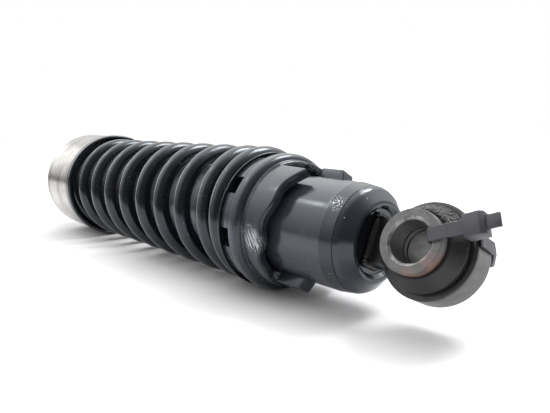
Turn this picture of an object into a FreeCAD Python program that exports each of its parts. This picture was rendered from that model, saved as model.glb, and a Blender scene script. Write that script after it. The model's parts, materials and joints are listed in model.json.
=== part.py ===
import FreeCAD, Part
import math
import os
import re

import Sketcher

# A motorcycle rear shock absorber: a hydraulic damper with a coil spring round it.
#
# Frame: the origin is the centre of the lower eye's bore. The damper's axis is X, with the
# lower eye at the +X end and the upper eye at the -X end. A "station" is a distance from the
# lower eye's centre towards the upper eye, so a station sits at x = -station. Every size below
# is in millimetres and every round size is a radius, unless its name says otherwise.

SIZES = {
    # The two eyes, their rubber bushes and their steel sleeves.
    "eye_distance": 340.0,
    "bolt_roll": 25.4,
    "bolt_radius": 8.0,
    "sleeve_radius": 12.0,
    "sleeve_half": 19.0,
    "sleeve_chamfer": 1.0,
    "bush_play": 0.05,
    "eye_radius": 18.8,
    "eye_bore": 15.2,
    "eye_half": 6.3,
    "eye_edge": 0.8,
    "cone_base": 16.6,
    "cone_shoulder": 9.2,
    "cone_radius": 13.1,
    "cone_outer": 14.8,
    "neck_root": 10.5,
    "neck_tip": 9.0,
    "neck_half": 5.2,
    # The damper tube and its end cap.
    "cap_well": 26.6,
    "cap_well_radius": 14.4,
    "cap_lip_radius": 15.4,
    "cap_face": 24.4,
    "cap_face_radius": 16.9,
    "cap_face_round": 2.0,
    "cap_shoulder": 28.6,
    "cap_shoulder_radius": 21.9,
    "cap_shoulder_round": 4.0,
    "seam": 31.0,
    "band": 37.0,
    "tube_radius": 23.7,
    "tube_taper": 0.9,
    "tube_inner": 21.6,
    "tube_end": 196.0,
    "cap_plug": 36.0,
    "seam_groove": 0.5,
    # The lug bars that the collar's cam rides on.
    "lug_first": -60.0,
    "lug_width": 8.0,
    "lug_top": 28.8,
    "lug_outer": 52.0,
    "lug_inner": 70.0,
    # The preload collar.
    "skirt_radius": 30.2,
    "skirt_inner": 25.9,
    "skirt_start": 48.0,
    "cam_clearance": 0.45,
    "cam_lift_per_degree": 0.1,
    "cam_step_angle": 36.0,
    "cam_steps": 4,
    "cam_scallop": 1.2,
    "cam_wall_angle": 132.0,
    "relief_angle": 11.0,
    "relief_floor": 75.2,
    "bead_radius": 33.4,
    "bead_start": 77.5,
    "bead_end": 84.0,
    "bead_round": 2.1,
    "bead_back_round": 0.8,
    "collar_bore": 24.1,
    "spanner_neck_radius": 32.3,
    "spanner_neck_inner": 29.0,
    "spanner_slots": 8,
    "spanner_slot_start": 84.8,
    "spanner_slot_width": 8.5,
    "spanner_roll": 6.5,
    "collar_end": 90.4,
    # The spring and its seats.
    "washer_face": 91.5,
    "washer_radius": 33.5,
    "washer_bore": 24.3,
    "spring_radius": 34.5,
    "spring_rise_lower": 1.8,
    "spring_rise_upper": -0.4,
    "wire_radius": 4.25,
    "closed_pitch": 8.8,
    "spring_turns": 11.6,
    "dead_turns": 0.75,
    "easing_turns": 0.75,
    "front_turn": 0.235,
    "seat_face": 311.5,
    "seat_back": 318.8,
    "seat_edge": 0.8,
    "seat_back_radius": 26.5,
    "seat_radius": 33.0,
    "seat_hub": 24.9,
    "seat_hub_inner": 17.0,
    "seat_hub_face": 305.0,
    # The chrome cover over the spring's upper end.
    "cover_radius": 36.3,
    "cover_wall": 0.9,
    "cover_mouth": 267.6,
    "cover_back": 320.0,
    "cover_round": 10.0,
    "rim_radius": 37.1,
    "rim_start": 265.4,
    "rim_end": 271.2,
    "rim_round": 1.2,
    # The upper eye's spigot, the rod and what is on it.
    "spigot_radius": 9.0,
    "spigot_play": 0.3,
    "spigot_end": 306.0,
    "shoulder_radius": 13.0,
    "shoulder_face": 320.3,
    "shoulder_back": 322.0,
    "rod_radius": 6.0,
    "rod_play": 0.05,
    "rod_top": 323.0,
    "rod_foot": 134.0,
    "nut_across": 19.0,
    "nut_length": 7.0,
    "stop_washer_length": 2.0,
    "stop_radius": 13.0,
    "stop_length": 28.0,
    # The working parts inside the tube.
    "pressure_bore": 16.1,
    "pressure_radius": 17.6,
    "pressure_end": 178.0,
    "valve_length": 9.0,
    "guide_start": 172.0,
    "guide_end": 188.0,
    "guide_bush_radius": 7.2,
    "seal_radius": 16.0,
    "seal_end": 192.0,
    "wiper_radius": 9.0,
    "wiper_end": 197.5,
    "piston_start": 141.0,
    "piston_end": 151.0,
    "piston_radius": 15.6,
    "band_width": 5.0,
    "shim_length": 0.6,
    "shim_largest": 13.5,
    "shim_step": 2.5,
    "shims_each_side": 3,
    "piston_nut_across": 17.0,
    "top_out_start": 154.0,
    "top_out_end": 158.0,
    "top_out_radius": 12.0,
}

doc = FreeCAD.newDocument("RearShock")
sheet = doc.addObject("Spreadsheet::Sheet", "Sizes")
for row, (alias, number) in enumerate(SIZES.items(), start=1):
    sheet.set(f"A{row}", alias)
    sheet.set(f"B{row}", str(number))
    sheet.setAlias(f"B{row}", alias)
doc.recompute()

nodes = []


def bound(text):
    """Turn size names in an expression into references to the sheet's cells."""
    return re.sub(r"[a-z_]+", lambda word: f"Sizes.{word[0]}" if word[0] in SIZES else word[0], text)


def number(text):
    """The value of an expression of size names."""
    return float(sheet.evalExpression(bound(text)))


def new_body(label):
    return doc.addObject("PartDesign::Body", label)


def new_sketch(body, role, name):
    """A sketch flat on one of the body's own origin planes."""
    sketch = body.newObject("Sketcher::SketchObject", name)
    plane = next(item for item in body.Origin.OriginFeatures if item.Role == role)
    sketch.AttachmentSupport = [(plane, "")]
    sketch.MapMode = "FlatFace"
    return sketch


def bind_constraint(sketch, constraint, text):
    index = sketch.addConstraint(constraint)
    sketch.setExpression(f"Constraints[{index}]", bound(text))


def hold(sketch, edge, end, across, up):
    """Tie one end of an edge to its distances across and up from the sketch's origin."""
    for kind, text, axis in (("DistanceX", across, -2), ("DistanceY", up, -1)):
        size = number(text)
        if abs(size) < 1e-9:
            sketch.addConstraint(Sketcher.Constraint("PointOnObject", edge, end, axis))
        else:
            bind_constraint(sketch, Sketcher.Constraint(kind, -1, 1, edge, end, size), text)


def draw_outline(sketch, points):
    """A closed outline of straight edges through (across, up) expressions."""
    places = [FreeCAD.Vector(number(across), number(up), 0) for across, up in points]
    edges = []
    for start, stop in zip(places, places[1:] + places[:1]):
        edges.append(sketch.addGeometry(Part.LineSegment(start, stop), False))
    for edge, following in zip(edges, edges[1:] + edges[:1]):
        sketch.addConstraint(Sketcher.Constraint("Coincident", edge, 2, following, 1))
    for edge, (across, up) in zip(edges, points):
        hold(sketch, edge, 1, across, up)


def draw_circle(sketch, radius):
    """A circle on the sketch's origin."""
    circle = Part.Circle(FreeCAD.Vector(0, 0, 0), FreeCAD.Vector(0, 0, 1), number(radius))
    edge = sketch.addGeometry(circle, False)
    sketch.addConstraint(Sketcher.Constraint("Coincident", edge, 3, -1, 1))
    bind_constraint(sketch, Sketcher.Constraint("Radius", edge, number(radius)), radius)


def spin_outline(body, role, points):
    """Revolve an outline about its sketch's horizontal axis."""
    sketch = new_sketch(body, role, f"{body.Name}_outline")
    draw_outline(sketch, points)
    turn = body.newObject("PartDesign::Revolution", f"{body.Name}_turn")
    turn.Profile = sketch
    turn.ReferenceAxis = (sketch, ["H_Axis"])
    turn.Angle = 360
    body.Tip = turn
    return turn


def turned(label, outline):
    """A piece turned about the damper's axis from an outline of (station, radius)."""
    body = new_body(label)
    spin_outline(body, "XZ_Plane", [(f"-({station})", radius) for station, radius in outline])
    return body


def tube_outline(start, end, inner, outer):
    return [(start, inner), (start, outer), (end, outer), (end, inner)]


def soften(body, size, places, kind="Fillet", along="x"):
    """Round or chamfer the body's circular edges at the given (distance, radius) places."""
    doc.recompute()
    base = body.Tip
    wanted = [(number(distance), number(radius)) for distance, radius in places]
    names = []
    for index, edge in enumerate(base.Shape.Edges, start=1):
        if not isinstance(edge.Curve, Part.Circle):
            continue
        distance = getattr(edge.Curve.Center, along)
        for place, radius in wanted:
            if abs(distance - place) < 0.01 and abs(edge.Curve.Radius - radius) < 0.01:
                names.append(f"Edge{index}")
    if len(names) < len(wanted):
        raise RuntimeError(f"{body.Label}: found {names} for {wanted}")
    feature = body.newObject(f"PartDesign::{kind}", f"{body.Name}_{kind.lower()}")
    feature.Base = (base, names)
    feature.setExpression("Radius" if kind == "Fillet" else "Size", bound(size))
    body.Tip = feature


def keep(*pieces):
    """Add finished pieces to the nodes that are written."""
    nodes.extend(pieces)


def place_at_eye(body, station):
    """Move a piece made about the Y axis to an eye and roll it with the bolt axis."""
    body.Placement = FreeCAD.Placement(FreeCAD.Vector(0, 0, 0), FreeCAD.Rotation(FreeCAD.Vector(1, 0, 0), -1))
    body.setExpression("Placement.Base.x", bound(f"-({station})"))
    body.setExpression("Placement.Rotation.Angle", bound("-bolt_roll"))


def cut_hole(body, role, radius, name):
    """Bore right through the body, both ways from the sketch's plane."""
    sketch = new_sketch(body, role, f"{body.Name}_{name}")
    draw_circle(sketch, radius)
    doc.recompute()
    before = body.Tip.Shape.Volume
    pocket = body.newObject("PartDesign::Pocket", f"{body.Name}_{name}_cut")
    pocket.Profile = sketch
    pocket.Type = "ThroughAll"
    pocket.Midplane = True
    body.Tip = pocket
    doc.recompute()
    if pocket.Shape.Volume > before - 1.0:
        raise RuntimeError(f"{body.Label}: the {name} cut nothing")


def make_sleeve(label, station):
    """The steel tube that the mounting bolt passes through."""
    body = new_body(label)
    spin_outline(body, "YZ_Plane", [
        ("-sleeve_half", "bolt_radius"),
        ("-sleeve_half", "sleeve_radius"),
        ("sleeve_half", "sleeve_radius"),
        ("sleeve_half", "bolt_radius"),
    ])
    rims = [("-sleeve_half", "bolt_radius"), ("sleeve_half", "bolt_radius")]
    soften(body, "sleeve_chamfer", rims, kind="Chamfer", along="y")
    place_at_eye(body, station)
    keep(body)


def make_bush(label, station):
    """The rubber bush: a barrel in the eye, with a flange and a cone on each side."""
    half = [
        ("cone_outer", "sleeve_radius + bush_play"),
        ("cone_outer", "cone_radius"),
        ("cone_shoulder", "cone_base"),
        ("eye_half", "cone_base"),
        ("eye_half", "eye_bore"),
    ]
    body = new_body(label)
    mirrored = [(f"-{distance}", radius) for distance, radius in reversed(half)]
    spin_outline(body, "YZ_Plane", half + mirrored)
    soften(body, "eye_edge", [("cone_shoulder", "cone_base"), ("-cone_shoulder", "cone_base")], along="y")
    place_at_eye(body, station)
    keep(body)


def start_eye(label):
    """A solid disc about the bolt axis, which the eye's neck and bore are added to."""
    body = new_body(label)
    spin_outline(body, "YZ_Plane", [
        ("-eye_half", "0"),
        ("-eye_half", "eye_radius"),
        ("eye_half", "eye_radius"),
        ("eye_half", "0"),
    ])
    soften(body, "eye_edge", [("-eye_half", "eye_radius"), ("eye_half", "eye_radius")], along="y")
    return body


def add_neck(body, points):
    """A flat neck from the eye to the damper, across the bolt axis."""
    sketch = new_sketch(body, "XZ_Plane", f"{body.Name}_neck")
    draw_outline(sketch, points)
    pad = body.newObject("PartDesign::Pad", f"{body.Name}_neck_pad")
    pad.Profile = sketch
    pad.setExpression("Length", bound("2 * neck_half"))
    pad.Midplane = True
    body.Tip = pad
    doc.recompute()


def make_lower_eye():
    body = start_eye("lower_eye")
    add_neck(body, [
        ("-cap_well", "-neck_root"),
        ("-cap_well", "neck_root"),
        ("-eye_bore", "neck_tip"),
        ("0", "neck_tip"),
        ("0", "-neck_tip"),
        ("-eye_bore", "-neck_tip"),
    ])
    cut_hole(body, "XZ_Plane", "eye_bore", "bore")
    place_at_eye(body, "0")
    keep(body)


def make_upper_eye():
    """The upper eye has a round shoulder on the cover and a bored spigot for the rod."""
    body = start_eye("upper_eye")
    reach = "eye_distance"
    sketch = new_sketch(body, "XZ_Plane", "upper_eye_boss")
    draw_outline(sketch, [
        (f"{reach} - shoulder_back", "0"),
        (f"{reach} - shoulder_back", "shoulder_radius"),
        (f"{reach} - shoulder_face", "shoulder_radius"),
        (f"{reach} - shoulder_face", "spigot_radius"),
        (f"{reach} - spigot_end", "spigot_radius"),
        (f"{reach} - spigot_end", "0"),
    ])
    boss = body.newObject("PartDesign::Revolution", "upper_eye_boss_turn")
    boss.Profile = sketch
    boss.ReferenceAxis = (sketch, ["H_Axis"])
    boss.Angle = 360
    body.Tip = boss
    doc.recompute()
    cut_hole(body, "XZ_Plane", "eye_bore", "bore")
    hole = new_sketch(body, "XZ_Plane", "upper_eye_rod_hole")
    draw_outline(hole, [
        (f"{reach} - rod_top", "0"),
        (f"{reach} - rod_top", "rod_radius"),
        (f"{reach} - spigot_end + 1", "rod_radius"),
        (f"{reach} - spigot_end + 1", "0"),
    ])
    groove = body.newObject("PartDesign::Groove", "upper_eye_rod_groove")
    groove.Profile = hole
    groove.ReferenceAxis = (hole, ["H_Axis"])
    groove.Angle = 360
    body.Tip = groove
    place_at_eye(body, "eye_distance")
    keep(body)


def make_damper_tube():
    tube = turned("damper_tube", [
        ("seam", "tube_inner"),
        ("seam", "tube_radius - tube_taper"),
        ("band", "tube_radius"),
        ("tube_end", "tube_radius"),
        ("tube_end", "tube_inner"),
    ])
    cap = turned("end_cap", [
        ("cap_well", "0"),
        ("cap_well", "cap_well_radius"),
        ("cap_face", "cap_lip_radius"),
        ("cap_face", "cap_face_radius"),
        ("cap_shoulder", "cap_shoulder_radius"),
        ("seam - seam_groove", "tube_radius - tube_taper"),
        ("seam - seam_groove", "tube_radius - tube_taper - seam_groove"),
        ("seam", "tube_radius - tube_taper - seam_groove"),
        ("seam", "tube_inner"),
        ("cap_plug", "tube_inner"),
        ("cap_plug", "0"),
    ])
    soften(cap, "cap_shoulder_round", [("-cap_shoulder", "cap_shoulder_radius")])
    soften(cap, "cap_face_round", [("-cap_face", "cap_face_radius")])
    keep(tube, cap)


def make_lug(label, roll):
    """A bar along the tube; its round end bears on the collar's cam."""
    body = new_body(label)
    sketch = new_sketch(body, "XY_Plane", f"{label}_outline")
    round_from = "lug_inner - lug_width / 2"
    draw_lug(sketch, round_from)
    pad = body.newObject("PartDesign::Pad", f"{label}_pad")
    pad.Profile = sketch
    pad.setExpression("Length", bound("lug_top"))
    body.Tip = pad
    doc.recompute()
    before = pad.Shape.Volume
    bore = new_sketch(body, "YZ_Plane", f"{label}_tube_bore")
    draw_circle(bore, "tube_radius")
    pocket = body.newObject("PartDesign::Pocket", f"{label}_tube_cut")
    pocket.Profile = bore
    pocket.Type = "ThroughAll"
    pocket.Midplane = True
    body.Tip = pocket
    doc.recompute()
    if pocket.Shape.Volume > before / 2:
        raise RuntimeError(f"{label}: the tube's bore was not cut")
    body.Placement = FreeCAD.Placement(FreeCAD.Vector(0, 0, 0), FreeCAD.Rotation(FreeCAD.Vector(1, 0, 0), 1))
    body.setExpression("Placement.Rotation.Angle", bound(f"90 - ({roll})"))
    keep(body)


def draw_lug(sketch, round_from):
    """The bar's outline from above: square at its outer end, half round at its inner end."""
    half = "lug_width / 2"
    outer = -number("lug_outer")
    turn = -number(round_from)
    side = number(half)
    corners = [(turn, -side), (outer, -side), (outer, side), (turn, side)]
    spots = [FreeCAD.Vector(across, up, 0) for across, up in corners]
    edges = [sketch.addGeometry(Part.LineSegment(spots[i], spots[i + 1]), False) for i in range(3)]
    circle = Part.Circle(FreeCAD.Vector(turn, 0, 0), FreeCAD.Vector(0, 0, 1), side)
    arc = sketch.addGeometry(Part.ArcOfCircle(circle, math.pi / 2, 3 * math.pi / 2), False)
    for first, second in ((0, 1), (1, 2)):
        sketch.addConstraint(Sketcher.Constraint("Coincident", edges[first], 2, edges[second], 1))
    sketch.addConstraint(Sketcher.Constraint("Coincident", edges[2], 2, arc, 1))
    sketch.addConstraint(Sketcher.Constraint("Coincident", arc, 2, edges[0], 1))
    bind_constraint(sketch, Sketcher.Constraint("DistanceX", -1, 1, arc, 3, turn), f"-({round_from})")
    hold(sketch, edges[0], 1, f"-({round_from})", f"-{half}")
    hold(sketch, edges[1], 1, "-lug_outer", f"-{half}")
    hold(sketch, edges[2], 1, "-lug_outer", half)
    hold(sketch, edges[2], 2, f"-({round_from})", half)


def cam_station(angle):
    """Where the cam's edge lies at an angle past the first seat; it repeats every half turn."""
    ramp = number("lug_inner + cam_clearance")
    scallop = number("cam_scallop")
    step = number("cam_step_angle")
    last_crest = step * (number("cam_steps") - 0.5)
    if angle <= -number("relief_angle"):
        return number("relief_floor")
    if angle <= 0:
        return ramp + scallop
    station = ramp - number("cam_lift_per_degree") * angle
    if angle < last_crest:
        station += scallop * (0.5 + 0.5 * math.cos(math.radians(360 * angle / step)))
    return station


def cam_edge(radius, first, start, stop, wall, count):
    """The cam's edge on a cylinder between two angles past the first seat.

    It follows the cam, or it is a straight wall between the two stations given."""
    points = []
    for index in range(count + 1):
        share = index / count
        angle = start + (stop - start) * share
        station = cam_station(angle) if wall is None else wall[0] + (wall[1] - wall[0]) * share
        roll = math.radians(first + angle)
        points.append(FreeCAD.Vector(-station, -radius * math.cos(roll), radius * math.sin(roll)))
    curve = Part.BSplineCurve()
    curve.interpolate(points)
    return curve.toShape()


def make_cam_cutter():
    """All that lies in front of the cam's two ramps, as prisms along the damper's axis."""
    inner = number("collar_bore - 2")
    outer = number("skirt_radius + 3")
    peak = number("cam_wall_angle")
    relief = -number("relief_angle")
    slope = 1.5
    stretches = [
        (peak - 180 + slope, relief, None, 4),
        (relief, relief + slope, (cam_station(relief), cam_station(0)), 3),
        (relief + slope, 0, None, 4),
        (0, peak, None, 80),
        (peak, peak + slope, (cam_station(peak), cam_station(relief)), 3),
    ]
    prisms = []
    for half in range(2):
        first = number("lug_first") + 180 * half
        for start, stop, wall, count in stretches:
            low = cam_edge(inner, first, start, stop, wall, count)
            high = cam_edge(outer, first, start, stop, wall, count)
            face = Part.makeRuledSurface(low, high)
            prisms.append(face.extrude(FreeCAD.Vector(60, 0, 0)))
    cutter = doc.addObject("Part::Feature", "cam_cutter")
    cutter.Shape = prisms[0].multiFuse(prisms[1:])
    return cutter


def make_collar():
    """The preload collar: a cam skirt, a rounded bead and a slotted neck."""
    blank = turned("collar_blank", [
        ("skirt_start", "skirt_inner"),
        ("skirt_start", "skirt_radius"),
        ("bead_start", "skirt_radius"),
        ("bead_start", "bead_radius"),
        ("bead_end", "bead_radius"),
        ("bead_end", "spanner_neck_radius"),
        ("collar_end", "spanner_neck_radius"),
        ("collar_end", "spanner_neck_inner"),
        ("bead_end", "spanner_neck_inner"),
        ("bead_end", "collar_bore"),
        ("bead_start", "collar_bore"),
        ("bead_start", "skirt_inner"),
    ])
    soften(blank, "bead_round", [("-bead_start", "bead_radius")])
    soften(blank, "bead_back_round", [("-bead_end", "bead_radius")])
    doc.recompute()
    before = blank.Tip.Shape.Volume
    slot = new_sketch(blank, "XY_Plane", "collar_slot")
    draw_outline(slot, [
        ("-collar_end", "-spanner_slot_width / 2"),
        ("-collar_end", "spanner_slot_width / 2"),
        ("-spanner_slot_start", "spanner_slot_width / 2"),
        ("-spanner_slot_start", "-spanner_slot_width / 2"),
    ])
    pocket = blank.newObject("PartDesign::Pocket", "collar_slot_cut")
    pocket.Profile = slot
    pocket.Type = "ThroughAll"
    pocket.Reversed = True
    blank.Tip = pocket
    doc.recompute()
    ring = blank.newObject("PartDesign::PolarPattern", "collar_slots")
    ring.Originals = [pocket]
    ring.Axis = (slot, ["H_Axis"])
    ring.Angle = 360
    ring.setExpression("Occurrences", bound("spanner_slots"))
    blank.Tip = ring
    doc.recompute()
    one = number("(collar_end - spanner_slot_start) * spanner_slot_width * (spanner_neck_radius - spanner_neck_inner)")
    if before - ring.Shape.Volume < 0.9 * one * number("spanner_slots"):
        raise RuntimeError("collar: a spanner slot is missing")
    blank.Placement = FreeCAD.Placement(FreeCAD.Vector(0, 0, 0), FreeCAD.Rotation(FreeCAD.Vector(1, 0, 0), 1))
    blank.setExpression("Placement.Rotation.Angle", bound("spanner_roll"))
    collar = doc.addObject("Part::Cut", "preload_collar")
    collar.Base = blank
    collar.Tool = make_cam_cutter()
    keep(collar)


def eased(share):
    """The integral of a smooth step from 0 to 1."""
    if share <= 0:
        return 0.0
    if share >= 1:
        return share - 0.5
    return share**3 - share**4 / 2


def coil_height(turn, open_pitch):
    """How far the wire's centre has risen after some turns from the lower end."""
    turns = number("spring_turns")
    dead = number("dead_turns")
    easing = number("easing_turns")
    closed = number("closed_pitch")
    opened = eased((turn - dead) / easing) - eased((turn - (turns - dead - easing)) / easing)
    return closed * turn + (open_pitch - closed) * easing * opened


def make_spring():
    """A right-hand coil spring with closed ends, ground flat where they meet their seats.

    It lies a little above the damper's axis at its lower end and a little below it at the other."""
    lower = number("washer_face")
    upper = number("seat_face - 0.1")
    wire = number("wire_radius")
    middle = number("spring_radius - wire_radius")
    turns = number("spring_turns")
    closed = number("closed_pitch")
    low_rise = number("spring_rise_lower")
    high_rise = number("spring_rise_upper")
    active = number("spring_turns - 2 * dead_turns - easing_turns")
    open_pitch = closed + (upper - lower - wire - closed * turns) / active
    points = []
    steps = round(turns * 16)
    for index in range(steps + 1):
        turn = turns * index / steps
        roll = 2 * math.pi * (turn - number("front_turn"))
        height = wire / 2 + coil_height(turn, open_pitch)
        rise = low_rise + (high_rise - low_rise) * height / (upper - lower)
        points.append(FreeCAD.Vector(-lower - height, -middle * math.cos(roll), rise + middle * math.sin(roll)))
    path = Part.BSplineCurve()
    path.interpolate(points)
    start = path.tangent(path.FirstParameter)[0]
    section = Part.Wire([Part.Circle(points[0], start, wire).toShape()])
    coil = Part.Wire([path.toShape()]).makePipeShell([section], True, True)
    between = Part.makeCylinder(2 * middle, upper - lower, FreeCAD.Vector(-lower, 0, 0), FreeCAD.Vector(-1, 0, 0))
    spring = doc.addObject("Part::Feature", "main_spring")
    spring.Shape = coil.common(between).Solids[0]
    keep(spring)


def make_seats():
    washer = turned("seat_washer", tube_outline("collar_end", "washer_face", "washer_bore", "washer_radius"))
    soften(washer, "0.5", [("-collar_end", "washer_radius"), ("-washer_face", "washer_radius")])
    bore = "spigot_radius + spigot_play"
    seat = turned("upper_spring_seat", [
        ("seat_hub_face", "seat_hub_inner"),
        ("seat_hub_face", "seat_hub"),
        ("seat_face", "seat_hub"),
        ("seat_face", "seat_radius"),
        ("seat_face + seat_edge", "seat_radius"),
        ("seat_back", "seat_back_radius"),
        ("seat_back", bore),
        ("seat_face", bore),
        ("seat_face", "seat_hub_inner"),
    ])
    keep(washer, seat)


def make_cover():
    """A chrome cup over the spring's upper end, with a black ring on its mouth."""
    bore = "spigot_radius + spigot_play"
    inside = "cover_radius - cover_wall"
    cover = turned("spring_cover", [
        ("cover_mouth", inside),
        ("cover_mouth", "cover_radius"),
        ("cover_back", "cover_radius"),
        ("cover_back", bore),
        ("cover_back - cover_wall", bore),
        ("cover_back - cover_wall", inside),
    ])
    soften(cover, "cover_round", [("-cover_back", "cover_radius")])
    soften(cover, "cover_round - cover_wall", [("-(cover_back - cover_wall)", inside)])
    rim = turned("cover_rim", [
        ("rim_start", inside),
        ("rim_start", "rim_radius"),
        ("rim_end", "rim_radius"),
        ("rim_end", "cover_radius"),
        ("cover_mouth", "cover_radius"),
        ("cover_mouth", inside),
    ])
    soften(rim, "rim_round", [("-rim_start", "rim_radius")])
    keep(cover, rim)


def make_hex_nut(label, start, length, across, bore):
    """A six-sided nut on the rod."""
    body = new_body(label)
    sketch = new_sketch(body, "YZ_Plane", f"{label}_outline")
    point = f"{across} / sqrt(3)"
    side = f"{across} / 2"
    draw_outline(sketch, [
        (point, "0"),
        (f"{point} / 2", side),
        (f"-{point} / 2", side),
        (f"-{point}", "0"),
        (f"-{point} / 2", f"-{side}"),
        (f"{point} / 2", f"-{side}"),
    ])
    draw_circle(sketch, bore)
    sketch.setExpression("AttachmentOffset.Base.z", bound(f"-({start} + {length})"))
    pad = body.newObject("PartDesign::Pad", f"{label}_pad")
    pad.Profile = sketch
    pad.setExpression("Length", bound(length))
    body.Tip = pad
    keep(body)


def make_rod_parts():
    """The rod, its lock nut under the upper eye, and the rubber bump stop."""
    rod = turned("damper_rod", [("rod_foot", "0"), ("rod_foot", "rod_radius"), ("rod_top", "rod_radius"), ("rod_top", "0")])
    soften(rod, "0.8", [("-rod_foot", "rod_radius")], kind="Chamfer")
    keep(rod)
    nut_start = "spigot_end - nut_length"
    make_hex_nut("lock_nut", nut_start, "nut_length", "nut_across", "rod_radius")
    washer_start = f"{nut_start} - stop_washer_length"
    washer = turned("stop_washer", tube_outline(washer_start, nut_start, "rod_radius", "stop_radius"))
    foot = f"{washer_start} - stop_length"
    third = "stop_length / 3"
    waist = "stop_radius - 2.5"
    outline = [(foot, "rod_radius"), (foot, waist)]
    for ring in range(3):
        outline.append((f"{foot} + {third} * {ring} + 2", "stop_radius"))
        outline.append((f"{foot} + {third} * {ring + 1} - 2", "stop_radius"))
        outline.append((f"{foot} + {third} * {ring + 1}", waist))
    outline.append((washer_start, "rod_radius"))
    keep(washer, turned("bump_stop", outline))


def make_tube_insides():
    """What is sealed in the tube and doesn't move."""
    pressure = turned("pressure_tube", tube_outline("cap_plug", "pressure_end", "pressure_bore", "pressure_radius"))
    valve = turned("foot_valve", [
        ("cap_plug", "0"),
        ("cap_plug", "pressure_bore"),
        ("cap_plug + valve_length / 2", "pressure_bore"),
        ("cap_plug + valve_length / 2", "pressure_bore / 2"),
        ("cap_plug + valve_length", "pressure_bore / 2"),
        ("cap_plug + valve_length", "0"),
    ])
    guide = turned("rod_guide", [
        ("guide_start", "guide_bush_radius"),
        ("guide_start", "pressure_bore"),
        ("pressure_end", "pressure_bore"),
        ("pressure_end", "tube_inner"),
        ("guide_end", "tube_inner"),
        ("guide_end", "guide_bush_radius"),
    ])
    rod_hole = "rod_radius + rod_play"
    bush = turned("guide_bush", tube_outline("guide_start", "guide_end", rod_hole, "guide_bush_radius"))
    seal = turned("oil_seal", tube_outline("guide_end", "seal_end", rod_hole, "seal_radius"))
    nut = turned("closing_nut", [
        ("guide_end", "seal_radius"),
        ("guide_end", "tube_inner"),
        ("tube_end", "tube_inner"),
        ("tube_end", "wiper_radius"),
        ("seal_end", "wiper_radius"),
        ("seal_end", "seal_radius"),
    ])
    wiper = turned("rod_wiper", tube_outline("seal_end", "wiper_end", rod_hole, "wiper_radius"))
    keep(pressure, valve, guide, bush, seal, nut, wiper)


def make_piston():
    """The piston on the rod's foot, between two stacks of shims that narrow outwards."""
    groove = "piston_radius - 1"
    low = "(piston_start + piston_end - band_width) / 2"
    high = "(piston_start + piston_end + band_width) / 2"
    piston = turned("piston", [
        ("piston_start", "rod_radius"),
        ("piston_start", "piston_radius"),
        (low, "piston_radius"),
        (low, groove),
        (high, groove),
        (high, "piston_radius"),
        ("piston_end", "piston_radius"),
        ("piston_end", "rod_radius"),
    ])
    band = turned("piston_band", tube_outline(low, high, groove, "pressure_bore - rod_play"))
    keep(piston, band)
    for index in range(SIZES["shims_each_side"]):
        radius = f"shim_largest - shim_step * {index}"
        near = f"piston_start - shim_length * {index}"
        keep(turned(f"rebound_shim_{index + 1}", tube_outline(f"{near} - shim_length", near, "rod_radius", radius)))
        far = f"piston_end + shim_length * {index}"
        keep(turned(f"compression_shim_{index + 1}", tube_outline(far, f"{far} + shim_length", "rod_radius", radius)))
    stack = "piston_start - shim_length * shims_each_side"
    make_hex_nut("piston_nut", "rod_foot + 0.8", f"{stack} - rod_foot - 0.8", "piston_nut_across", "rod_radius")
    keep(turned("top_out_ring", tube_outline("top_out_start", "top_out_end", "rod_radius", "top_out_radius")))


def write_parts():
    """Check every object, then write each piece to its own file."""
    doc.recompute()
    for item in doc.Objects:
        if "Invalid" in item.State or "Error" in item.State:
            raise RuntimeError(f"{item.Label} failed: {item.State}")
    os.makedirs("parts", exist_ok=True)
    for piece in nodes:
        if piece.Shape.isNull() or not piece.Shape.isValid():
            raise RuntimeError(f"{piece.Label} has no valid shape")
        piece.Shape.exportStep(f"parts/{piece.Label}.step")
        print(f"{piece.Label}: {piece.Shape.Volume / 1000:.2f} cm3")


make_sleeve("lower_sleeve", "0")
make_sleeve("upper_sleeve", "eye_distance")
make_bush("lower_bush", "0")
make_bush("upper_bush", "eye_distance")
make_lower_eye()
make_upper_eye()
make_damper_tube()
make_lug("cam_lug_1", "lug_first")
make_lug("cam_lug_2", "lug_first + 180")
make_collar()
make_spring()
make_seats()
make_cover()
make_rod_parts()
make_tube_insides()
make_piston()
write_parts()
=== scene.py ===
import json
import math
import random

import bmesh
import bpy
from mathutils import Matrix, Vector, noise


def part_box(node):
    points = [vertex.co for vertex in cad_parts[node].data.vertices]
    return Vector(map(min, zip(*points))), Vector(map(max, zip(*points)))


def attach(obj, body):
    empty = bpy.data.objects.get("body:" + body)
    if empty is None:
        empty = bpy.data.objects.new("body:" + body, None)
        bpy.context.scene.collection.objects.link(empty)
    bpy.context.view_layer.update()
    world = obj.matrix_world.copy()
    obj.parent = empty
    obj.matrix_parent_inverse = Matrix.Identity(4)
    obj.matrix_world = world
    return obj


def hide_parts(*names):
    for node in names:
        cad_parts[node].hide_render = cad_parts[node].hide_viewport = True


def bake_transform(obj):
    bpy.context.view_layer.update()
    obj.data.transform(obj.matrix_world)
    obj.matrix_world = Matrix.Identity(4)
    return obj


# A motorcycle rear shock absorber. Lengths are in metres in the part's frame; MM turns millimetres
# into metres. A station is a distance from the lower eye's centre towards the upper eye, so it
# lies at x = -station. An angle round the damper starts at the near side (-Y) and turns up.

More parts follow.
